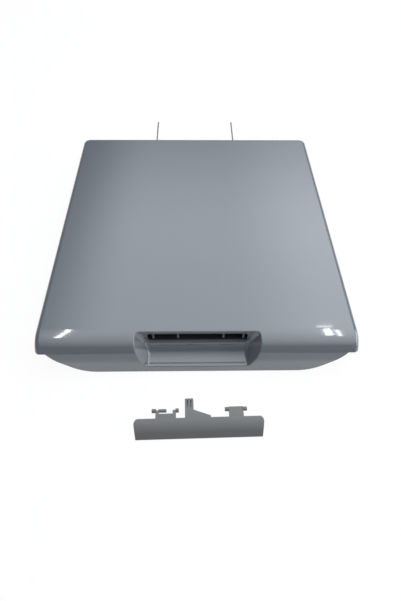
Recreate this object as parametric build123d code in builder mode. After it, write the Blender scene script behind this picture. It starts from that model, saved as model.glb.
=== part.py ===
from build123d import *
import math
import os

# Lid of a narrow top-loading washing machine, with its opening handle lying loose in front.
# Millimetres. +Z is up, -Y is the front of the lid, and +X is to the right of a person there.
# The origin is on the underside of the inner panel's pad, half way between front and back.

# Outer cover: a moulded shell with a round front edge
cover_width = 400.0
cover_depth = 445.0
cover_height = 53.0
cover_wall = 3.0
roll_radius = 30.0
edge_radius = 7.0
rear_corner_radius = 12.0
skirt_depth = 15.5
least_inner_radius = 1.0

# Front lip: it hangs below the skirts, and its two ends slope up to them
lip_end_inset = 13.6
lip_end_run = 40.8
lip_bend_radius = 45.0
lip_foot_radius = 40.0

# Finger scoop in the round front edge
scoop_depth = 26.0
scoop_lip_height = 12.5
scoop_floor_radius = 20.0
scoop_half_width = 83.9
scoop_foot_half_width = 73.9
scoop_foot_radius = 10.0
scoop_draft = 28.0
scoop_reach = 34.0
scoop_upper_reach = 40.0
scoop_foot_margin = 1.3
scoop_wall = 2.5
scoop_inner_radius = 5.0
scoop_edge_radius = 1.2
mouth_clear = 2.0

# Slot in the back of the scoop, and the seats behind it that carry the handle's pins
slot_width = 125.0
slot_height = 17.0
slot_top_drop = 5.5
slot_corner_radius = 3.5
seat_wall = 2.6
seat_rim = 5.0
seat_drop = 6.0
seat_overhang = 0.6

# Opening handle: a curved flap with two lugs and a tongue behind its upper edge
flap_inset = 0.5
flap_edge_gap = 2.5
flap_wall = 2.5
flap_end_angle = 61.0
flap_half_width = 77.2
flap_foot_half_width = 73.6
flap_corner_radius = 6.5
flap_end_radius = 2.0
pivot_setback = 12.5
pivot_drop = 12.0
pin_radius = 2.5
pin_play = 0.1
spring_pin_radius = 2.1
lug_wall = 3.5
left_lug_outer = -51.7
left_lug_inner = -27.2
lug_post_width = 4.0
left_lug_bridge = 10.5
outer_pin_length = 4.6
inner_pin_length = 3.4
spring_pin_length = 9.0
right_lug_inner = 36.6
right_lug_outer = 54.0
tongue_left = -16.3
tongue_right = -5.9
tongue_reach = 14.9
tongue_tip_radius = 1.5
tongue_groove_width = 1.5
tongue_groove_length = 9.0
tongue_groove_depth = 2.6
tongue_groove_spacing = 4.0
tongue_groove_inset = 2.4
gusset_run = 20.5
gusset_rise = 8.0
gusset_wall = 2.5

# Where the handle lies, measured at the middle of its lower edge
handle_distance = 86.6
handle_offset = 1.0
handle_turn = 1.1

# Inner panel: a flange inside the skirts, a bay under the handle's lugs and a deep hollow pad
panel_wall = 2.5
panel_gap = 0.8
panel_recess = 0.5
panel_front_gap = 4.0
bay_half_width = 66.0
bay_margin = 5.0
bay_corner_radius = 6.0
bay_front_gap = 0.8
bay_clear = 1.0
window_margin = 3.0
window_length = 10.0
window_corner_radius = 2.0
pad_width = 300.0
pad_front_inset = 75.0
pad_rear_inset = 55.0
pad_corner_radius = 35.0
pad_draft = 6.0
pad_edge_radius = 8.0

# Screws that hold the panel to the cover, and the bosses that take them
screw_shank_radius = 1.35
screw_pilot_play = 0.05
screw_hole_play = 0.5
screw_length = 9.5
screw_head_radius = 3.4
screw_head_height = 2.3
screw_head_edge = 0.8
screw_cross_width = 0.9
screw_cross_depth = 1.2
boss_wall = 2.6
boss_floor = 1.5
boss_side_inset = 23.0
boss_front_inset = 95.0
boss_middle_inset = 240.0
boss_rear_inset = 25.0
boss_rear_spacing = 120.0

# Rubber buffers under the front corners of the panel
buffer_radius = 6.5
buffer_height = 5.0
buffer_edge_radius = 1.5
buffer_stem_radius = 2.6
buffer_stem_play = 0.1
buffer_head_radius = 3.4
buffer_head_height = 2.2
buffer_front_inset = 50.0

# Hinge wire: a sprung steel wire bent into a U, turning in knuckles on the rear skirt
wire_radius = 1.25
wire_play = 0.07
wire_spacing = 140.0
wire_bend_radius = 4.0
wire_leg_length = 68.0
wire_setback = 4.0
wire_rise = 4.5
knuckle_wall = 2.6
knuckle_length = 12.0
knuckle_inner_place = 24.0
knuckle_outer_place = 52.0
knuckle_mouth_share = 0.8
rest_width = 7.0
rest_gap = 0.3
rest_wall = 2.5

# Cuts and joins run past the surfaces they meet by these amounts, and places closer than a touch are one
through = 2.0
bite = 0.6
touch = 0.01

# An edge is looked at in its middle and near its ends, and it runs along X where its direction is near X
edge_middle = 0.5
edge_samples = (0.1, 0.5, 0.9)
along_x = 0.9

# Places that follow from the sizes above
half_width = cover_width / 2
front_y = -cover_depth / 2
rear_y = cover_depth / 2
rim_z = cover_height - skirt_depth
ceiling_z = cover_height - cover_wall
roll_y = front_y + roll_radius
roll_z = cover_height - roll_radius
scoop_back_y = front_y + scoop_depth
slot_top_z = cover_height - slot_top_drop
slot_bottom_z = slot_top_z - slot_height
slot_middle_z = slot_top_z - slot_height / 2
pivot_y = scoop_back_y + pivot_setback
pivot_z = cover_height - pivot_drop
tongue_tip_y = pivot_y + tongue_reach
tongue_middle = (tongue_left + tongue_right) / 2
flange_bottom_z = rim_z + panel_recess
flange_top_z = flange_bottom_z + panel_wall
panel_half_width = half_width - cover_wall - panel_gap
panel_front_y = scoop_back_y + scoop_wall + panel_front_gap
panel_rear_y = rear_y - cover_wall - panel_gap
bay_front_y = scoop_back_y + scoop_wall + bay_front_gap
bay_back_y = tongue_tip_y + bay_margin
bay_floor_z = slot_bottom_z - bay_clear
pad_front_y = front_y + pad_front_inset
pad_rear_y = rear_y - pad_rear_inset
wire_y = rear_y + wire_setback
wire_z = rim_z + wire_rise

boss_x = half_width - boss_side_inset
boss_rear_y = rear_y - boss_rear_inset
boss_side_rows = (front_y + boss_front_inset, front_y + boss_middle_inset, boss_rear_y)
boss_places = [(side * boss_x, row) for side in (-1, 1) for row in boss_side_rows]
boss_places += [(side * boss_rear_spacing / 2, boss_rear_y) for side in (-1, 1)]
pilot_radius = screw_shank_radius + screw_pilot_play
boss_radius = pilot_radius + boss_wall
buffer_places = {
    "left": (-boss_x, front_y + buffer_front_inset),
    "right": (boss_x, front_y + buffer_front_inset),
}

# Each pin of the handle along X: its root, buried in the lug, and its free end
handle_pins = {
    "left outer": (left_lug_outer + bite, left_lug_outer - outer_pin_length),
    "left inner": (left_lug_inner - bite, left_lug_inner + inner_pin_length),
    "right inner": (right_lug_inner + bite, right_lug_inner - outer_pin_length),
    "right outer": (right_lug_outer - bite, right_lug_outer + outer_pin_length),
}


def cover_block(inset):
    """Closed form of the cover, drawn in by an inset on its top, front, back and sides."""
    floor_z = 0 if inset == 0 else -through
    with BuildPart() as block:
        with BuildSketch(Plane.YZ):
            with BuildLine():
                back = Line((rear_y - inset, floor_z), (rear_y - inset, cover_height - inset))
                Line(back @ 1, (roll_y, cover_height - inset))
                roll = CenterArc((roll_y, roll_z), roll_radius - inset, 90, 90)
                front = Line(roll @ 1, (front_y + inset, floor_z))
                Line(front @ 1, back @ 0)
            make_face()
        extrude(amount=half_width - inset, both=True)
        upright = block.edges().filter_by(Axis.Z).group_by(Axis.Y)[-1]
        fillet(upright, radius=max(rear_corner_radius - inset, least_inner_radius))
        upper = block.edges().filter_by(Axis.Y).group_by(Axis.Z)[-1]
        fillet(upper, radius=max(edge_radius - inset, least_inner_radius))
    return block.part


# The scoop is drawn on a plane that leans 45 degrees and just clears the round front edge
mouth_radius = roll_radius + mouth_clear
mouth_lean = math.sqrt(0.5)
mouth_y = roll_y - mouth_radius * mouth_lean
mouth_z = roll_z + mouth_radius * mouth_lean
mouth_plane = Plane(origin=(0, mouth_y, mouth_z), x_dir=(1, 0, 0), z_dir=(0, -1, 1))
draft_slope = math.tan(math.radians(scoop_draft))
lip_along = ((front_y - mouth_y) + (scoop_lip_height - mouth_z)) * mouth_lean
lip_below = ((front_y - mouth_y) - (scoop_lip_height - mouth_z)) * mouth_lean
scoop_foot = lip_along - lip_below * draft_slope - scoop_foot_margin


def on_front_skin(edge):
    """True for an edge of the scoop's mouth: it lies all along on the cover's outer front surface."""
    for place in edge_samples:
        point = edge @ place
        if point.Z > roll_z:
            gap = math.hypot(point.Y - roll_y, point.Z - roll_z) - roll_radius
        else:
            gap = point.Y - front_y
        if abs(gap) > touch or abs(point.X) > scoop_half_width:
            return False
    return edge.center().Y < roll_y - through and edge.center().Z > scoop_lip_height - through


def scoop_block(margin):
    """Finger scoop as a solid, grown by a margin on its back, floor and sloping sides."""
    spread = margin / math.cos(math.radians(scoop_draft))
    upper_half = scoop_half_width + spread
    foot_half = scoop_foot_half_width + spread
    foot = scoop_foot - spread
    floor_z = scoop_lip_height - margin
    back_y = scoop_back_y + margin
    bend = scoop_floor_radius + margin
    with BuildPart() as scoop:
        with BuildSketch(mouth_plane):
            with BuildLine():
                Polyline(
                    (-foot_half, foot),
                    (foot_half, foot),
                    (upper_half, scoop_upper_reach),
                    (-upper_half, scoop_upper_reach),
                    close=True,
                )
            make_face()
        extrude(amount=-(scoop_reach + margin), taper=scoop_draft)
        inward_edges = scoop.edges().filter_by(
            lambda e: abs((mouth_plane.to_local_coords(e @ 1) - mouth_plane.to_local_coords(e @ 0)).Z) > touch
        )
        fillet(inward_edges.group_by(Axis.Z)[0], radius=scoop_foot_radius + margin)
        with BuildSketch(Plane.YZ):
            with BuildLine():
                floor = Line((front_y - roll_radius, floor_z), (back_y - bend, floor_z))
                curve = CenterArc((back_y - bend, floor_z + bend), bend, -90, 90)
                back = Line(curve @ 1, (back_y, cover_height + roll_radius))
                above = Line(back @ 1, (front_y - roll_radius, cover_height + roll_radius))
                Line(above @ 1, floor @ 0)
            make_face()
        extrude(amount=half_width, both=True, mode=Mode.INTERSECT)
        hollow_faces = scoop.faces().filter_by(
            lambda f: f.geom_type == GeomType.CYLINDER
            or abs(f.center().Y - back_y) < touch
            or abs(f.center().Z - floor_z) < touch
        )
        side_edges = hollow_faces.edges().filter_by(
            lambda e: abs(e.tangent_at(edge_middle).X) < along_x and e.center().Z < cover_height + mouth_clear
        )
        fillet(side_edges, radius=scoop_inner_radius + margin)
    return scoop.part


cover_outside = cover_block(0)
cover_inside = cover_block(cover_wall)
scoop_outside = scoop_block(scoop_wall)
scoop_inside = scoop_block(0)

with BuildPart() as scoop_shell:
    add(scoop_outside)
    add(cover_outside, mode=Mode.INTERSECT)

with BuildPart() as outer_cover:
    add(cover_outside)
    add(cover_inside, mode=Mode.SUBTRACT)

    # Side and rear skirts end at the rim, while the round front runs on down into the lip
    with BuildSketch(Plane.YZ):
        with Locations((roll_y, -through)):
            Rectangle(cover_depth, rim_z + through, align=Align.MIN)
    extrude(amount=half_width + through, both=True, mode=Mode.SUBTRACT)

    # Front view of the lower edge: level in the middle, sloping up to the rim at both ends
    with BuildSketch(Plane.XZ):
        with BuildLine():
            slope_end = half_width - lip_end_inset
            slope_start = slope_end - lip_end_run
            Polyline(
                (0, 0),
                (slope_start, 0),
                (slope_end, rim_z),
                (half_width + lip_foot_radius, rim_z),
                (half_width + lip_foot_radius, cover_height + through),
                (0, cover_height + through),
            )
            mirror(about=Plane.YZ)
        outline = make_face()
        bends = outline.vertices().filter_by(lambda v: abs(abs(v.X) - slope_start) < touch)
        fillet(bends, radius=lip_bend_radius)
        feet = outline.vertices().filter_by(lambda v: abs(abs(v.X) - slope_end) < touch)
        fillet(feet, radius=lip_foot_radius)
    extrude(amount=cover_depth, both=True, mode=Mode.INTERSECT)

    # Finger scoop: its shell is joined on and hollowed, its mouth rounded and its back slotted
    add(scoop_shell.part)
    add(scoop_inside, mode=Mode.SUBTRACT)
    fillet(outer_cover.edges().filter_by(on_front_skin), radius=scoop_edge_radius)
    with BuildSketch(Plane.XZ.offset(-scoop_back_y - scoop_wall - bite)):
        with Locations((0, slot_middle_z)):
            RectangleRounded(slot_width, slot_height, slot_corner_radius)
    extrude(amount=scoop_wall + bite + through, mode=Mode.SUBTRACT)

    # Seats for the handle's pins, open below so that the pins press in from underneath
    for root, tip in handle_pins.values():
        outward = math.copysign(1, tip - root)
        with BuildSketch(Plane.YZ.offset(tip + outward * (seat_overhang - seat_wall / 2))):
            with Locations((scoop_back_y + scoop_wall - bite, pivot_z - seat_drop)):
                Rectangle(
                    pivot_setback - scoop_wall + bite + seat_rim,
                    ceiling_z + bite - pivot_z + seat_drop,
                    align=Align.MIN,
                )
            with Locations((pivot_y, pivot_z)):
                Circle(pin_radius + pin_play, mode=Mode.SUBTRACT)
                Rectangle(
                    2 * (pin_radius + pin_play),
                    seat_drop + through,
                    align=(Align.CENTER, Align.MAX),
                    mode=Mode.SUBTRACT,
                )
        extrude(amount=seat_wall / 2, both=True)

    # Screw bosses under the top
    with BuildSketch(Plane.XY.offset(flange_top_z)):
        with Locations(*boss_places):
            Circle(boss_radius)
    extrude(amount=ceiling_z + bite - flange_top_z)
    with BuildSketch(Plane.XY.offset(flange_top_z)):
        with Locations(*boss_places):
            Circle(pilot_radius)
    extrude(amount=ceiling_z - boss_floor - flange_top_z, mode=Mode.SUBTRACT)

    # Hinge knuckles: round snap clips on the rear skirt, open below
    knuckle_radius = wire_radius + wire_play + knuckle_wall
    for place in (knuckle_inner_place, knuckle_outer_place):
        for side in (-1, 1):
            with BuildSketch(Plane.YZ.offset(side * place)):
                with Locations((wire_y, wire_z)):
                    Circle(knuckle_radius)
                    Rectangle(
                        wire_setback + cover_wall / 2,
                        2 * knuckle_radius,
                        align=(Align.MAX, Align.CENTER),
                    )
                    Circle(wire_radius + wire_play, mode=Mode.SUBTRACT)
                    Rectangle(
                        2 * wire_radius * knuckle_mouth_share,
                        knuckle_radius + through,
                        align=(Align.CENTER, Align.MAX),
                        mode=Mode.SUBTRACT,
                    )
            extrude(amount=knuckle_length / 2, both=True)

    # Rests under the wire's two bends, which stop the legs level with the lid
    rest_top_z = wire_z - wire_radius - rest_gap
    for side in (-1, 1):
        with BuildSketch(Plane.YZ.offset(side * (wire_spacing - rest_width) / 2)):
            with BuildLine():
                Polyline(
                    (rear_y - cover_wall / 2, rest_top_z),
                    (wire_y + wire_bend_radius - rest_gap, rest_top_z),
                    (wire_y + wire_bend_radius - rest_gap, rest_top_z - rest_wall / 2),
                    (rear_y, rim_z),
                    (rear_y - cover_wall / 2, rim_z),
                    close=True,
                )
            make_face()
        extrude(amount=rest_width / 2, both=True)

with BuildPart() as inner_panel:
    # Flange inside the skirts
    with BuildSketch(Plane.XY.offset(flange_bottom_z)):
        with Locations((0, panel_front_y)):
            flange = Rectangle(
                2 * panel_half_width,
                panel_rear_y - panel_front_y,
                align=(Align.CENTER, Align.MIN),
            )
        rear_corners = flange.vertices().group_by(Axis.Y)[-1]
        fillet(rear_corners, radius=max(rear_corner_radius - cover_wall, least_inner_radius))
    extrude(amount=panel_wall)

    # Bay under the handle's lugs and tongue: a tray below the flange, open towards the slot
    with BuildSketch(Plane.XY.offset(bay_floor_z - panel_wall)):
        with Locations((0, bay_front_y)):
            tray = Rectangle(
                2 * (bay_half_width + panel_wall),
                bay_back_y + panel_wall - bay_front_y,
                align=(Align.CENTER, Align.MIN),
            )
        fillet(tray.vertices().group_by(Axis.Y)[-1], radius=bay_corner_radius + panel_wall)
    extrude(amount=flange_top_z - bay_floor_z + panel_wall)
    with BuildSketch(Plane.XY.offset(bay_floor_z)):
        with Locations((0, bay_front_y - through)):
            hollow = Rectangle(
                2 * bay_half_width,
                bay_back_y - bay_front_y + through,
                align=(Align.CENTER, Align.MIN),
            )
        fillet(hollow.vertices().group_by(Axis.Y)[-1], radius=bay_corner_radius)
    extrude(amount=flange_top_z - bay_floor_z, mode=Mode.SUBTRACT)

    # Window in the bay's floor, where the tongue reaches down to the machine's catch
    with BuildSketch(Plane.XY.offset(bay_floor_z)):
        with Locations((tongue_middle, bay_back_y - window_margin)):
            RectangleRounded(
                tongue_right - tongue_left + 2 * window_margin,
                window_length,
                window_corner_radius,
                align=(Align.CENTER, Align.MAX),
            )
    extrude(amount=-panel_wall, mode=Mode.SUBTRACT)

    # Hollow pad that closes the machine's opening: drafted sides and a flat base
    pad_depth = pad_rear_y - pad_front_y
    pad_middle_y = (pad_rear_y + pad_front_y) / 2
    with BuildSketch(Plane.XY.offset(flange_bottom_z + bite)):
        with Locations((0, pad_middle_y)):
            RectangleRounded(pad_width, pad_depth, pad_corner_radius)
    extrude(amount=-(flange_bottom_z + bite), taper=pad_draft)
    base = inner_panel.faces().sort_by(Axis.Z)[0]
    fillet(base.edges(), radius=pad_edge_radius)
    pad_hollow = 2 * panel_wall / math.cos(math.radians(pad_draft))
    hollow_radius = pad_corner_radius - pad_hollow / 2
    with BuildSketch(Plane.XY.offset(flange_top_z)):
        with Locations((0, pad_middle_y)):
            RectangleRounded(pad_width - pad_hollow, pad_depth - pad_hollow, hollow_radius)
    extrude(amount=-(flange_top_z - panel_wall), taper=pad_draft, mode=Mode.SUBTRACT)

    # Screw holes and buffer holes through the flange
    with BuildSketch(Plane.XY.offset(flange_bottom_z)):
        with Locations(*boss_places):
            Circle(screw_shank_radius + screw_hole_play)
        with Locations(*buffer_places.values()):
            Circle(buffer_stem_radius + buffer_stem_play)
    extrude(amount=panel_wall, mode=Mode.SUBTRACT)

with BuildPart() as panel_screws:
    for place in boss_places:
        with BuildSketch(Plane(origin=(*place, flange_bottom_z))):
            Circle(screw_head_radius)
        extrude(amount=-screw_head_height)
        with BuildSketch(Plane(origin=(*place, flange_bottom_z))):
            Circle(screw_shank_radius)
        extrude(amount=screw_length)
    heads = panel_screws.edges().filter_by(GeomType.CIRCLE).group_by(Axis.Z)[0]
    fillet(heads, radius=screw_head_edge)
    with BuildSketch(Plane.XY.offset(flange_bottom_z - screw_head_height)):
        with Locations(*boss_places):
            Rectangle(2 * screw_head_radius - 2 * screw_head_edge, screw_cross_width)
            Rectangle(screw_cross_width, 2 * screw_head_radius - 2 * screw_head_edge)
    extrude(amount=screw_cross_depth, mode=Mode.SUBTRACT)


def rubber_buffer(place):
    """Mushroom buffer: a round foot under the flange, a stem through it and a button above it."""
    x, y = place
    foot_z = flange_bottom_z - buffer_height
    button_z = flange_top_z + buffer_head_height
    with BuildPart() as buffer:
        with BuildSketch(Plane(origin=(x, y, 0), x_dir=(1, 0, 0), z_dir=(0, -1, 0))):
            with BuildLine():
                Polyline(
                    (0, foot_z),
                    (buffer_radius, foot_z),
                    (buffer_radius, flange_bottom_z),
                    (buffer_stem_radius, flange_bottom_z),
                    (buffer_stem_radius, flange_top_z),
                    (buffer_head_radius, flange_top_z),
                    (buffer_stem_radius, button_z),
                    (0, button_z),
                    close=True,
                )
            make_face()
        revolve(axis=Axis((x, y, 0), (0, 0, 1)))
        foot_edge = buffer.edges().filter_by(GeomType.CIRCLE).group_by(Axis.Z)[0]
        fillet(foot_edge, radius=buffer_edge_radius)
    return buffer.part


with BuildPart() as hinge_wire:
    with BuildLine() as wire_path:
        FilletPolyline(
            (-wire_spacing / 2, wire_y + wire_leg_length, wire_z),
            (-wire_spacing / 2, wire_y, wire_z),
            (wire_spacing / 2, wire_y, wire_z),
            (wire_spacing / 2, wire_y + wire_leg_length, wire_z),
            radius=wire_bend_radius,
        )
    with BuildSketch(Plane(origin=wire_path.line @ 0, z_dir=wire_path.line % 0)):
        Circle(wire_radius)
    sweep()

# The handle is drawn where it sits when fitted, then laid down on the floor
flap_radius = roll_radius - flap_inset
flap_start_angle = math.degrees(math.asin((roll_y - scoop_back_y + flap_edge_gap) / flap_radius))
flap_top_y = scoop_back_y - flap_edge_gap
flap_arc = flap_end_angle - flap_start_angle


def across(root, tip):
    """Plane square to X at the middle of a pin."""
    return Plane.YZ.offset((root + tip) / 2)


with BuildPart() as fitted_handle:
    # Flap: a slice of the round front edge, narrower at its lower edge
    with BuildSketch(Plane.YZ):
        with BuildLine():
            outer = CenterArc((roll_y, roll_z), flap_radius, 90 + flap_start_angle, flap_arc)
            inner = CenterArc((roll_y, roll_z), flap_radius - flap_wall, 90 + flap_start_angle, flap_arc)
            Line(outer @ 0, inner @ 0)
            Line(outer @ 1, inner @ 1)
        make_face()
    extrude(amount=flap_half_width, both=True)
    with BuildSketch(Plane.XY):
        with BuildLine():
            Polyline(
                (-flap_half_width, flap_top_y + bite),
                (flap_half_width, flap_top_y + bite),
                (flap_foot_half_width, front_y),
                (-flap_foot_half_width, front_y),
                close=True,
            )
        flap_plan = make_face()
        fillet(flap_plan.vertices().group_by(Axis.Y)[-1], radius=flap_corner_radius)
        fillet(flap_plan.vertices().group_by(Axis.Y)[0], radius=flap_end_radius)
    extrude(amount=cover_height, mode=Mode.INTERSECT)

    # Both lugs and the tongue are one flat plate that starts on the inside of the flap
    plate_rise = (pivot_z - roll_z) / (flap_radius - flap_wall / 2)
    plate_root_y = roll_y - (flap_radius - flap_wall / 2) * math.sqrt(1 - plate_rise**2)
    bridge_y = flap_top_y + left_lug_bridge
    with BuildSketch(Plane.XY.offset(pivot_z - lug_wall / 2)):
        with Locations((left_lug_outer, plate_root_y)):
            Rectangle(left_lug_inner - left_lug_outer, bridge_y - plate_root_y, align=Align.MIN)
            Rectangle(lug_post_width, pivot_y - plate_root_y, align=Align.MIN)
        with Locations((left_lug_inner - lug_post_width, plate_root_y)):
            Rectangle(lug_post_width, pivot_y - plate_root_y, align=Align.MIN)
        with Locations((right_lug_inner, plate_root_y)):
            Rectangle(
                right_lug_outer - right_lug_inner,
                pivot_y + pin_radius - plate_root_y,
                align=Align.MIN,
            )
        with Locations((tongue_left, plate_root_y)):
            Rectangle(tongue_right - tongue_left, tongue_tip_y - plate_root_y, align=Align.MIN)
    extrude(amount=lug_wall)
    tip = fitted_handle.edges().filter_by(Axis.Z).group_by(Axis.Y)[-1]
    fillet(tip, radius=tongue_tip_radius)

    # Gusset beside the tongue
    with BuildSketch(Plane.XY.offset(pivot_z - gusset_wall / 2)):
        with BuildLine():
            Polyline(
                (tongue_right - bite, plate_root_y),
                (tongue_right + gusset_run, plate_root_y),
                (tongue_right + gusset_run, pivot_y - gusset_rise),
                (tongue_right, pivot_y),
                (tongue_right - bite, pivot_y),
                close=True,
            )
        make_face()
    extrude(amount=gusset_wall)

    # Two grooves along the top of the tongue
    groove_y = tongue_tip_y - tongue_groove_inset - tongue_groove_length / 2
    with BuildSketch(Plane.XY.offset(pivot_z + lug_wall / 2)):
        with Locations((tongue_middle, groove_y)):
            with GridLocations(tongue_groove_spacing, 0, 2, 1):
                SlotOverall(tongue_groove_length, tongue_groove_width, rotation=90)
    extrude(amount=-tongue_groove_depth, mode=Mode.SUBTRACT)

    # Pins at the sides of the lugs, and the longer pin that the return spring goes round
    for root, tip in handle_pins.values():
        with BuildSketch(across(root, tip)):
            with Locations((pivot_y, pivot_z)):
                Circle(pin_radius)
        extrude(amount=abs(tip - root) / 2, both=True)
    spring_pin_root = left_lug_outer + lug_post_width - bite
    spring_pin_tip = left_lug_outer + lug_post_width + spring_pin_length
    with BuildSketch(across(spring_pin_root, spring_pin_tip)):
        with Locations((pivot_y, pivot_z)):
            Circle(spring_pin_radius)
    extrude(amount=(spring_pin_tip - spring_pin_root) / 2, both=True)

# At rest the flap's lower edge touches the floor, and so do the pins or the tongue's tip, whichever is lower
end_turn = math.radians(flap_end_angle)
foot_y = roll_y - (flap_radius - flap_wall) * math.sin(end_turn)
foot_z = roll_z + (flap_radius - flap_wall) * math.cos(end_turn)
pin_reach = math.hypot(pivot_y - foot_y, pivot_z - foot_z)
pin_tilt = math.atan2(pivot_z - foot_z, pivot_y - foot_y) - math.asin(pin_radius / pin_reach)
tongue_tilt = math.atan2(pivot_z - lug_wall / 2 - foot_z, tongue_tip_y - foot_y)
lying_tilt = math.degrees(min(pin_tilt, tongue_tilt))
handle_on_floor = Location((handle_offset, front_y - handle_distance, 0), (0, 0, handle_turn))
handle_level = Location((0, 0, 0), (-lying_tilt, 0, 0)) * Location((0, -foot_y, -foot_z))
opening_handle = fitted_handle.part.moved(handle_on_floor * handle_level)

pieces = {
    "outer_cover": outer_cover.part,
    "inner_panel": inner_panel.part,
    "panel_screws": panel_screws.part,
    "hinge_wire": hinge_wire.part,
    "opening_handle": opening_handle,
}
for side, place in buffer_places.items():
    pieces[f"corner_buffer_{side}"] = rubber_buffer(place)

os.makedirs("parts", exist_ok=True)
for name, piece in pieces.items():
    piece.label = name
    export_step(piece, f"parts/{name}.step")
    print(f"{name}: {piece.volume / 1000:.1f} cm3")
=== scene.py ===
# %% [markdown]
# # The lid of a top-loading washing machine, with its opening handle
#
# The lid is a glossy blue-grey shell, 400 mm wide, whose front edge rolls over in one large
# radius and holds a finger scoop. Its handle has been taken off and lies in front of it. All the
# pieces are rigid mouldings, wires, screws and buffers. They could be modelled again here, but
# they come from the CAD frame and keep their shapes, so that the solids and the picture agree.
# This lesson gives them a camera, finishes, a floor and light.

# %% Load the frame
import math

import bpy
import numpy as np
from mathutils import Matrix, Vector


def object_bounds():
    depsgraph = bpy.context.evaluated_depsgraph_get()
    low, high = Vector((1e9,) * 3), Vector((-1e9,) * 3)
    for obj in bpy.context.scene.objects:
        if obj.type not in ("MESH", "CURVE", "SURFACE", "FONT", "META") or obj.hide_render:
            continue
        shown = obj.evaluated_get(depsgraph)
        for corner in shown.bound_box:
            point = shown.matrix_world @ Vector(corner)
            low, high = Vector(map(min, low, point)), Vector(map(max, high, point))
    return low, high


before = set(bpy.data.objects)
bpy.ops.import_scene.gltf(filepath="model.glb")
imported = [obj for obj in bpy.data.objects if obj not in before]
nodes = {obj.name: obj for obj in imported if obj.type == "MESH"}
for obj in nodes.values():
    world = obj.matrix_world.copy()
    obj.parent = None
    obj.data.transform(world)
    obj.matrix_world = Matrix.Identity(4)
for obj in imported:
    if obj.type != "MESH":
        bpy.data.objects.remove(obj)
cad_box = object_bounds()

scene = bpy.context.scene
scene.view_settings.view_transform = "Standard"
print("pieces from the frame:", sorted(nodes))

# %% [markdown]
# ## The camera
#
# The picture is taken from just in front of the lid, looking steeply down, with a wide lens. That
# is why the rear edge looks so much narrower than the front. The camera could be aimed with a
# constraint, but its small turn and lean would be lost. Here its three axes are worked out from
# the turn, the dip and the lean, and put straight into its matrix.

# %% Stand the camera in front of the lid
image_height_px = 601
focal_length_px = 436.0
sensor_size = 36.0
camera_place = Vector((-0.0066, -0.4931, 0.5011))
camera_turn = math.radians(1.797)
camera_dip = math.radians(52.433)
camera_lean = math.radians(1.145)


def camera_axes(turn, dip, lean):
    """Right, up and backward of a camera that is turned to the right, dipped and then leant."""
    forward = Vector((
        math.sin(turn) * math.cos(dip), math.cos(turn) * math.cos(dip), -math.sin(dip),
    ))
    level_right = Vector((math.cos(turn), -math.sin(turn), 0.0))
    level_up = level_right.cross(forward)
    right = level_right * math.cos(lean) + level_up * math.sin(lean)
    up = level_up * math.cos(lean) - level_right * math.sin(lean)
    return right, up, -forward


camera_data = bpy.data.cameras.new("photo_camera")
camera_data.sensor_width = sensor_size
camera_data.lens = focal_length_px * sensor_size / image_height_px
camera = bpy.data.objects.new("photo_camera", camera_data)
scene.collection.objects.link(camera)
axes = Matrix(camera_axes(camera_turn, camera_dip, camera_lean)).transposed()
camera.matrix_world = Matrix.Translation(camera_place) @ axes.to_4x4()
scene.camera = camera
print(f"camera lens {camera_data.lens:.2f} mm at {tuple(round(c, 3) for c in camera_place)} m")

# %% [markdown]
# ## Nodes in few words
#
# Every finish below is a tree of shader nodes. A node could be made, filled and linked line by
# line each time. A few small helpers keep the cells short: a socket that is given a number or a
# colour is filled, and a socket that is given another node's output is linked to it.

# %% Helpers that add nodes
def fill(tree, node, sockets):
    """Fills or links the named or numbered input sockets of a node."""
    for name, value in sockets.items():
        if isinstance(value, bpy.types.NodeSocket):
            tree.links.new(value, node.inputs[name])
        else:
            node.inputs[name].default_value = value
    return node


def add_node(tree, kind, sockets=None, **settings):
    """Adds a node, sets its settings, and fills or links its input sockets."""
    node = tree.nodes.new(kind)
    for name, value in settings.items():
        setattr(node, name, value)
    return fill(tree, node, sockets or {})


def calculate(tree, operation, *values):
    """The result of a Math node on the given values."""
    numbered = dict(enumerate(values))
    return add_node(tree, "ShaderNodeMath", numbered, operation=operation).outputs[0]


def ramp(tree, value, low, high, result_low=0.0, result_high=1.0):
    """A smooth step: from result_low where the value is low to result_high where it is high."""
    sockets = {
        "Value": value, "From Min": low, "From Max": high,
        "To Min": result_low, "To Max": result_high,
    }
    node = add_node(tree, "ShaderNodeMapRange", sockets, interpolation_type="SMOOTHSTEP")
    return node.outputs[0]


def noise(tree, vector, scale, detail):
    """A cloud of values between 0 and 1 around each point."""
    sockets = {"Vector": vector, "Scale": scale, "Detail": detail}
    return add_node(tree, "ShaderNodeTexNoise", sockets).outputs["Fac"]


# %% [markdown]
# ## Groups and finishes
#
# Grain, marks and drawn lines come back on several pieces of the real lid. They could be built
# anew in every material, but as node groups they are built once and take other values in each. A
# finish is a material with one shader. It goes into the slot that the CAD piece already has,
# which leaves the piece's mesh as it is.

# %% Helpers that start groups and finishes
NUMBER, COLOUR = "NodeSocketFloat", "NodeSocketColor"


def new_group(name, inputs, outputs):
    """An empty node group with the named sockets, what it takes in and what it puts out."""
    group = bpy.data.node_groups.new(name, "ShaderNodeTree")
    for label, kind in inputs.items():
        group.interface.new_socket(name=label, in_out="INPUT", socket_type=kind)
    for label, kind in outputs.items():
        group.interface.new_socket(name=label, in_out="OUTPUT", socket_type=kind)
    taken = group.nodes.new("NodeGroupInput").outputs
    put_out = group.nodes.new("NodeGroupOutput").inputs
    print("node group:", name)
    return group, taken, put_out


def place_group(tree, group, sockets):
    """Places a node group in a tree with its own values, and returns what it puts out."""
    node = tree.nodes.new("ShaderNodeGroup")
    node.node_tree = group
    return fill(tree, node, sockets).outputs


def new_material(name):
    """A material with an empty node tree, and that tree."""
    material = bpy.data.materials.new(name)
    material.use_nodes = True
    material.node_tree.nodes.clear()
    return material, material.node_tree


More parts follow.
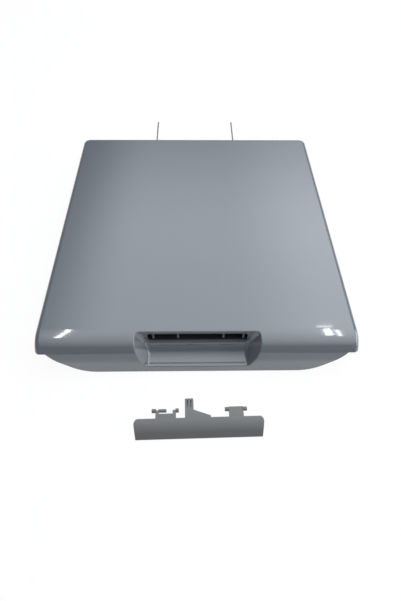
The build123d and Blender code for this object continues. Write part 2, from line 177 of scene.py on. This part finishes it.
def new_finish(name, *node_names):
    """A material with its Principled shader, set on the first slot of the named CAD nodes."""
    finish, tree = new_material(name)
    shader = tree.nodes.new("ShaderNodeBsdfPrincipled")
    add_node(tree, "ShaderNodeOutputMaterial", {"Surface": shader.outputs["BSDF"]})
    for node_name in node_names:
        nodes[node_name].material_slots[0].material = finish
    print("finish:", name, "on", ", ".join(node_names))
    return tree, shader


# %% [markdown]
# ## Moulded plastic
#
# The shell, the inner panel and the handle are injection mouldings. Close up, such plastic is
# never one even colour: the melt leaves broad, faint clouds, and the steel of the mould leaves a
# fine grain, almost mirror-smooth on the shell and coarser on the handle. A painted texture could
# hold this, but a group of noise nodes serves all the mouldings with their own values.

# %% A node group for moulded plastic
noise_middle = 0.5
cloud_scale, cloud_detail = 9.0, 3.0
patch_scale, patch_detail = 38.0, 5.0
grain_detail = 4.0

plastic_group, taken, put_out = new_group(
    "moulded plastic",
    {
        "Colour": COLOUR, "Clouds": NUMBER, "Grain Scale": NUMBER,
        "Roughness": NUMBER, "Unevenness": NUMBER,
    },
    {"Colour": COLOUR, "Roughness": NUMBER, "Height": NUMBER},
)
where = add_node(plastic_group, "ShaderNodeTexCoord").outputs["Object"]
cloud = noise(plastic_group, where, cloud_scale, cloud_detail)
cloud = calculate(plastic_group, "SUBTRACT", cloud, noise_middle)
brightness = calculate(plastic_group, "MULTIPLY_ADD", cloud, taken["Clouds"], 1.0)
clouded = add_node(
    plastic_group, "ShaderNodeHueSaturation", {"Color": taken["Colour"], "Value": brightness}
)
patch = noise(plastic_group, where, patch_scale, patch_detail)
patch = calculate(plastic_group, "SUBTRACT", patch, noise_middle)
patchy = calculate(plastic_group, "MULTIPLY_ADD", patch, taken["Unevenness"], taken["Roughness"])
grain = noise(plastic_group, where, taken["Grain Scale"], grain_detail)
plastic_group.links.new(clouded.outputs["Color"], put_out["Colour"])
plastic_group.links.new(patchy, put_out["Roughness"])
plastic_group.links.new(grain, put_out["Height"])

# %% [markdown]
# ## Handling marks
#
# A lid is opened and wiped every day. Cloths and fingers leave long, thin marks that change the
# gloss a little, in some places more than in others. They could be drawn as curves, but a noise
# that is stretched in one direction and shown only in patches gives the same look everywhere.

# %% A node group for handling marks
mark_stretch = (14.0, 260.0, 260.0)
mark_turn = (0.0, 0.0, math.radians(24.0))
mark_range, mark_detail = (0.52, 0.70), 3.0
mark_patch_scale, mark_patch_detail = 11.0, 2.0
mark_patch_range = (0.42, 0.66)

marks_group, taken, put_out = new_group("handling marks", {"Amount": NUMBER}, {"Mask": NUMBER})
where = add_node(marks_group, "ShaderNodeTexCoord").outputs["Object"]
stretched = add_node(
    marks_group, "ShaderNodeMapping",
    {"Vector": where, "Rotation": mark_turn, "Scale": mark_stretch},
).outputs["Vector"]
lines = ramp(marks_group, noise(marks_group, stretched, 1.0, mark_detail), *mark_range)
patches = noise(marks_group, where, mark_patch_scale, mark_patch_detail)
patches = ramp(marks_group, patches, *mark_patch_range)
mask = calculate(marks_group, "MULTIPLY", lines, patches)
mask = calculate(marks_group, "MULTIPLY", mask, taken["Amount"])
marks_group.links.new(mask, put_out["Mask"])

# %% [markdown]
# ## A moulding's finish, put together
#
# The two groups work together in the same way on every moulding. The plastic gives the colour,
# the roughness and the grain, and the marks change the roughness: on a polished face they are
# duller than the rest, and on a grained face they are rubbed smoother. Each material could repeat
# these nodes in its own cell. One function writes them, and the cells keep only their values.

# %% A helper for moulded finishes
def mould(tree, shader, look, marks, effect, grain_strength, grain_depth):
    """Feeds a shader from the two groups. The effect says if marks ADD or SUBTRACT roughness."""
    plastic = place_group(tree, plastic_group, look)
    mask = place_group(tree, marks_group, {"Amount": marks})["Mask"]
    grain = add_node(tree, "ShaderNodeBump", {
        "Height": plastic["Height"], "Strength": grain_strength, "Distance": grain_depth,
    })
    fill(tree, shader, {
        "Base Color": plastic["Colour"],
        "Roughness": calculate(tree, effect, plastic["Roughness"], mask),
        "Normal": grain.outputs["Normal"],
    })


# %% [markdown]
# ## The glossy shell
#
# The outer cover is polished plastic in a cool blue-grey under a thin clear lacquer. Its gloss is
# what shows its form: the lamps draw sharp streaks on the roll, and the top mirrors the ceiling.
# A lower roughness alone could give that gloss, but a clear coat over a slightly duller base also
# keeps the colour soft under the streaks. A very shallow, long-waved bump gives the slight
# unevenness of a large polished moulding.

# %% The outer cover's finish
tree, shader = new_finish("cover_plastic_gloss", "outer_cover")
look = {
    "Colour": (0.107, 0.117, 0.132, 1.0), "Clouds": 0.05, "Grain Scale": 60.0,
    "Roughness": 0.06, "Unevenness": 0.03,
}
mould(tree, shader, look, marks=0.05, effect="ADD", grain_strength=0.02, grain_depth=0.00008)
fill(tree, shader, {"Coat Weight": 0.5, "Coat Roughness": 0.03})

# %% [markdown]
# ## The charcoal inner panel and its painted shade
#
# The inner panel faces the drum. It is a charcoal moulding with the fine, even grain of an eroded
# mould, which hides water marks. Its colour is set darker still than such a moulding: that is
# painted shade, so that its bay behind the slot shows as dark as the shade inside the lid.

# %% The inner panel's finish
tree, shader = new_finish("panel_plastic_painted_shade", "inner_panel")
# Near-black colour: partly the moulding's own charcoal, partly painted shade for the bay behind
# the slot.
look = {
    "Colour": (0.020, 0.021, 0.025, 1.0), "Clouds": 0.25, "Grain Scale": 1400.0,
    "Roughness": 0.52, "Unevenness": 0.16,
}
mould(tree, shader, look, marks=0.12, effect="SUBTRACT", grain_strength=0.25, grain_depth=0.0003)

# %% [markdown]
# ## The satin handle
#
# The handle is a neutral grey moulding with a satin grain, so that it gives the fingers some
# hold. A bump could be modelled into its mesh, but the grain is far finer than the mesh, so it
# is left to the material. Where the handle is touched most, the grain is rubbed smoother.

# %% The handle's finish
tree, shader = new_finish("handle_plastic_satin", "opening_handle")
look = {
    "Colour": (0.102, 0.102, 0.103, 1.0), "Clouds": 0.10, "Grain Scale": 1100.0,
    "Roughness": 0.38, "Unevenness": 0.14,
}
mould(tree, shader, look, marks=0.10, effect="SUBTRACT", grain_strength=0.2, grain_depth=0.0003)

# %% [markdown]
# ## Drawn steel
#
# Steel wire is drawn through a die, which leaves fine lines along it, and damp dulls it in spots.
# The lines could follow each bend of the wire with a texture laid along it. The wire's two long
# legs, which are what is seen, both run along Y, so a noise stretched along Y is enough.

# %% A node group for drawn steel
line_stretch, line_detail = (1500.0, 30.0, 1500.0), 2.0
line_roughness = 0.18
spot_scale, spot_detail = 160.0, 4.0
spot_range = (0.45, 0.68)
spot_roughness = 0.2

steel_group, taken, put_out = new_group(
    "drawn steel",
    {"Colour": COLOUR, "Dull Colour": COLOUR, "Roughness": NUMBER},
    {"Colour": COLOUR, "Roughness": NUMBER, "Height": NUMBER},
)
where = add_node(steel_group, "ShaderNodeTexCoord").outputs["Object"]
drawn = add_node(steel_group, "ShaderNodeMapping", {"Vector": where, "Scale": line_stretch})
lines = noise(steel_group, drawn.outputs["Vector"], 1.0, line_detail)
spots = ramp(steel_group, noise(steel_group, where, spot_scale, spot_detail), *spot_range)
# A Mix node that is set to colours takes its share on socket 0 and its colours on 6 and 7.
colours = {0: spots, 6: taken["Colour"], 7: taken["Dull Colour"]}
dulled = add_node(steel_group, "ShaderNodeMix", colours, data_type="RGBA")
roughness = calculate(steel_group, "MULTIPLY_ADD", lines, line_roughness, taken["Roughness"])
roughness = calculate(steel_group, "MULTIPLY_ADD", spots, spot_roughness, roughness)
steel_group.links.new(dulled.outputs[2], put_out["Colour"])
steel_group.links.new(roughness, put_out["Roughness"])
steel_group.links.new(lines, put_out["Height"])

# %% [markdown]
# ## The wire and the screws
#
# The hinge wire is spring steel that has dulled. The screws are zinc plated, brighter and a
# little warm. Two materials could be written out in full, but they differ only in two colours
# and a roughness, so one loop makes both.

# %% The finishes of the wire and the screws
lines_strength, lines_depth = 0.2, 0.0001
steels = {
    "hinge_wire":
        ("wire_steel_drawn", (0.33, 0.33, 0.34, 1.0), (0.16, 0.15, 0.145, 1.0), 0.24),
    "panel_screws":
        ("screw_zinc_plated", (0.66, 0.65, 0.61, 1.0), (0.42, 0.41, 0.40, 1.0), 0.20),
}
for node_name, (finish_name, bright, dull, roughness) in steels.items():
    tree, shader = new_finish(finish_name, node_name)
    look = {"Colour": bright, "Dull Colour": dull, "Roughness": roughness}
    steel = place_group(tree, steel_group, look)
    bump = add_node(tree, "ShaderNodeBump", {
        "Height": steel["Height"], "Strength": lines_strength, "Distance": lines_depth,
    })
    fill(tree, shader, {
        "Base Color": steel["Colour"], "Roughness": steel["Roughness"],
        "Metallic": 1.0, "Normal": bump.outputs["Normal"],
    })

# %% [markdown]
# ## Rubber buffers
#
# Two soft rubber buffers keep the lid from knocking on the machine. Old black rubber blooms: a
# pale film comes out in patches and where it is rubbed. The film could be a second layer with a
# mask of its own. On buffers this small, the moulded plastic's clouds and grain and the rubbed
# lines of the handling marks give the same look.

# %% The buffers' finish
tree, shader = new_finish("buffer_rubber_matt", "corner_buffer_left", "corner_buffer_right")
look = {
    "Colour": (0.045, 0.045, 0.048, 1.0), "Clouds": 0.8, "Grain Scale": 2200.0,
    "Roughness": 0.78, "Unevenness": 0.2,
}
mould(tree, shader, look, marks=0.25, effect="SUBTRACT", grain_strength=0.3, grain_depth=0.0002)

# %% [markdown]
# ## The floor
#
# The lid lies on a plain white floor that fills the whole picture. It could curve up into a
# backdrop, but the camera looks so steeply down that a flat sheet reaches every corner. It lies a
# hair below the part, so that the two never share a plane.

# %% A floor under the lid
floor_half_width = 6.0
floor_gap = 0.0002
floor_level = cad_box[0].z - floor_gap
corners = np.array([(-1, -1, 0), (1, -1, 0), (1, 1, 0), (-1, 1, 0)]) * floor_half_width
floor_mesh = bpy.data.meshes.new("floor")
floor_mesh.from_pydata((corners + (0, 0, floor_level)).tolist(), [], [(0, 1, 2, 3)])
floor = bpy.data.objects.new("floor", floor_mesh)
scene.collection.objects.link(floor)
print(f"floor {2 * floor_half_width:.0f} m wide at {floor_level * 1000:.1f} mm")

# %% [markdown]
# ## White for the eye, paint for the light
#
# More light could turn the floor white, but it would also wash out the lid. So rays that the
# camera, a glossy surface or glass sends to the floor see mostly an even white, and the rest is
# white paint, which takes the soft shadow. All other rays see only the paint, so the floor throws
# back no more light than paint would.

# %% The floor's finish
white_share = 0.94
floor_finish, tree = new_material("floor_white")
paint = add_node(tree, "ShaderNodeBsdfDiffuse", {"Color": (0.75, 0.75, 0.75, 1.0)})
even_white = add_node(
    tree, "ShaderNodeEmission", {"Color": (1.0, 1.0, 1.0, 1.0), "Strength": 1.0}
)
path = add_node(tree, "ShaderNodeLightPath").outputs
seen = calculate(tree, "MAXIMUM", path["Is Camera Ray"], path["Is Glossy Ray"])
seen = calculate(tree, "MAXIMUM", seen, path["Is Transmission Ray"])
share = calculate(tree, "MULTIPLY", seen, white_share)
mix = add_node(
    tree, "ShaderNodeMixShader", {0: share, 1: paint.outputs[0], 2: even_white.outputs[0]}
)
add_node(tree, "ShaderNodeOutputMaterial", {"Surface": mix.outputs[0]})
floor_mesh.materials.append(floor_finish)
print(f"floor: {white_share:.0%} even white, the rest paint")

# %% [markdown]
# ## The lit ceiling
#
# The lid's top is a mirror that shows the ceiling behind it, so the light has to come from
# something with a shape. It could be a few area lamps, but their edges would show in the gloss.
# Here it is one large sheet under the ceiling that faces down and is hidden from the camera.

# %% A sheet under the ceiling
ceiling_level = 1.6
sheet_reach = 3.4
corners = np.array([(-1, -1, 0), (-1, 1, 0), (1, 1, 0), (1, -1, 0)]) * sheet_reach
sheet_mesh = bpy.data.meshes.new("ceiling_light")
sheet_mesh.from_pydata((corners + (0, 0, ceiling_level)).tolist(), [], [(0, 1, 2, 3)])
sheet = bpy.data.objects.new("ceiling_light", sheet_mesh)
scene.collection.objects.link(sheet)
sheet.visible_camera = False
print(f"ceiling sheet {2 * sheet_reach:.1f} m wide at {ceiling_level} m")

# %% [markdown]
# ## The glow of the ceiling
#
# An evenly lit sheet would make the top one flat tone. On the real lid the tone falls off to the
# left and to the front and grows a little to the right, so the sheet's glow does the same. It is
# a product of smooth steps over X and Y. Each step gives where it starts and ends in metres, and
# then the factors that it leads from and to.

# %% The glow of the sheet
sheet_glow = 2.32
left_edge_slant = -0.08
left_fade = (-1.10, -0.49, 0.0, sheet_glow)
right_swell = (0.2, 0.8, 1.0, 1.45)
right_fade = (1.0, 2.2, 1.0, 0.0)
front_fade = (-3.0, 0.4, 0.0, 1.0)
rear_fade = (1.4, 2.9, 1.0, 0.3)

sheet_finish, tree = new_material("ceiling_glow")
where = add_node(tree, "ShaderNodeTexCoord").outputs["Object"]
place = add_node(tree, "ShaderNodeSeparateXYZ", {"Vector": where}).outputs
slant = calculate(tree, "MULTIPLY_ADD", place["Y"], left_edge_slant, place["X"])
fade = ramp(tree, slant, *left_fade)
for axis, step in (("X", right_swell), ("X", right_fade), ("Y", front_fade), ("Y", rear_fade)):
    fade = calculate(tree, "MULTIPLY", fade, ramp(tree, place[axis], *step))
glow = add_node(tree, "ShaderNodeEmission", {"Color": (0.95, 1.0, 1.05, 1.0), "Strength": fade})
add_node(tree, "ShaderNodeOutputMaterial", {"Surface": glow.outputs[0]})
sheet_mesh.materials.append(sheet_finish)
print(f"ceiling glow {sheet_glow}, up to {sheet_glow * right_swell[-1]:.2f} on the right")

# %% [markdown]
# ## The dim room
#
# The front of the roll faces the room in front of the lid and mirrors it. A bright room would
# flatten the roll, so the world is a dim, even grey, which leaves the dark band along the edge.

# %% A dim room
cool_white = (0.97, 0.99, 1.0, 1.0)
room_level = 0.2
world = bpy.data.worlds.new("studio")
world.use_nodes = True
scene.world = world
tree = world.node_tree
tree.nodes.clear()
room = add_node(tree, "ShaderNodeBackground", {"Color": cool_white, "Strength": room_level})
add_node(tree, "ShaderNodeOutputWorld", {"Surface": room.outputs[0]})
print(f"room level {room_level}")

# %% [markdown]
# ## Bowed tubes
#
# Bright streaks stand on both corners of the roll, one on the left and a cluster on the right.
# They are lamps mirrored in a curved edge, which bends them. Straight area lamps could make
# streaks, but of the wrong bend. Here four thin glowing strips hang just under the sheet, one on
# the left and three on the right, and each is bowed so that its mirror image takes the right bend.

# %% The tubes' glow
tube_radiance = 22.0
tube_finish, tree = new_material("tube_glow")
glow = add_node(tree, "ShaderNodeEmission", {"Color": cool_white, "Strength": tube_radiance})
add_node(tree, "ShaderNodeOutputMaterial", {"Surface": glow.outputs[0]})
print(f"tube radiance {tube_radiance}")

# %% [markdown]
# ## The strips themselves
#
# A strip needs only a centre line and a width. The line could be a Bezier curve with a bevel, but
# a parabola through three points is set by the places that the streaks give, so each strip is
# computed as a row of pairs of points.

# %% Bowed tubes under the ceiling
tube_level = 1.58
tube_steps = 24


def bowed_tube(name, front, middle, rear, width):
    """A flat strip of one width at the tubes' level.

    Its centre line gives X as a parabola over Y: a constant, plus a share of Y, plus a share of
    Y squared, so that it passes through the front, middle and rear points. At each of the evenly
    spaced steps in Y, one point lies half the width to the left and one half the width to the
    right, and every two neighbouring pairs close a face.
    """
    bend = np.polyfit(*np.array([front, middle, rear])[:, ::-1].T, 2)
    along = np.linspace(front[1], rear[1], tube_steps)
    across = np.array([-0.5, 0.5]) * width
    x = np.polyval(bend, along)[:, None] + across
    y = np.broadcast_to(along[:, None], x.shape)
    points = np.stack([x, y, np.full_like(x, tube_level)], axis=-1)
    start = 2 * np.arange(tube_steps - 1)[:, None]
    mesh = bpy.data.meshes.new(name)
    mesh.from_pydata(points.reshape(-1, 3).tolist(), [], (start + [0, 2, 3, 1]).tolist())
    mesh.materials.append(tube_finish)
    tube = bpy.data.objects.new(name, mesh)
    scene.collection.objects.link(tube)
    tube.visible_camera = False
    print(f"{name}: {rear[1] - front[1]:.3f} m long, {width * 1000:.0f} mm wide")


bowed_tube("left_tube", (-0.651, -0.49), (-0.620, 0.03), (-0.656, 0.70), 0.028)
bowed_tube("right_inner_tube", (0.648, -0.37), (0.647, 0.04), (0.690, 0.58), 0.034)
bowed_tube("right_outer_tube", (0.704, -0.47), (0.695, 0.0), (0.724, 0.45), 0.016)
bowed_tube("right_cross_tube", (0.719, 0.838), (0.719, 0.841), (0.719, 0.844), 0.088)

# %% [markdown]
# ## A soft light from the right
#
# The ceiling leaves the scoop's walls and the handle's upright faces dark. A brighter room could
# lift them, but it would lift the dark band on the roll as well. A large soft box low on the
# right reaches only what faces it, and it is large so that its edge does not show in the gloss.

# %% A soft box low on the right
box_width = 2.0
box_height = 1.5
box_place = Vector((2.3, -0.3, 0.9))
box_target = Vector((0.0, -0.2, 0.03))
box_radiance = 4.5
box_data = bpy.data.lights.new("right_soft_box", "AREA")
box_data.shape = "RECTANGLE"
box_data.size = box_width
box_data.size_y = box_height
box_data.energy = box_radiance * math.pi * box_width * box_height
soft_box = bpy.data.objects.new("right_soft_box", box_data)
scene.collection.objects.link(soft_box)
soft_box.location = box_place
soft_box.rotation_euler = (box_target - box_place).to_track_quat("-Z", "Y").to_euler()
print(f"soft box: {box_data.energy:.1f} W")
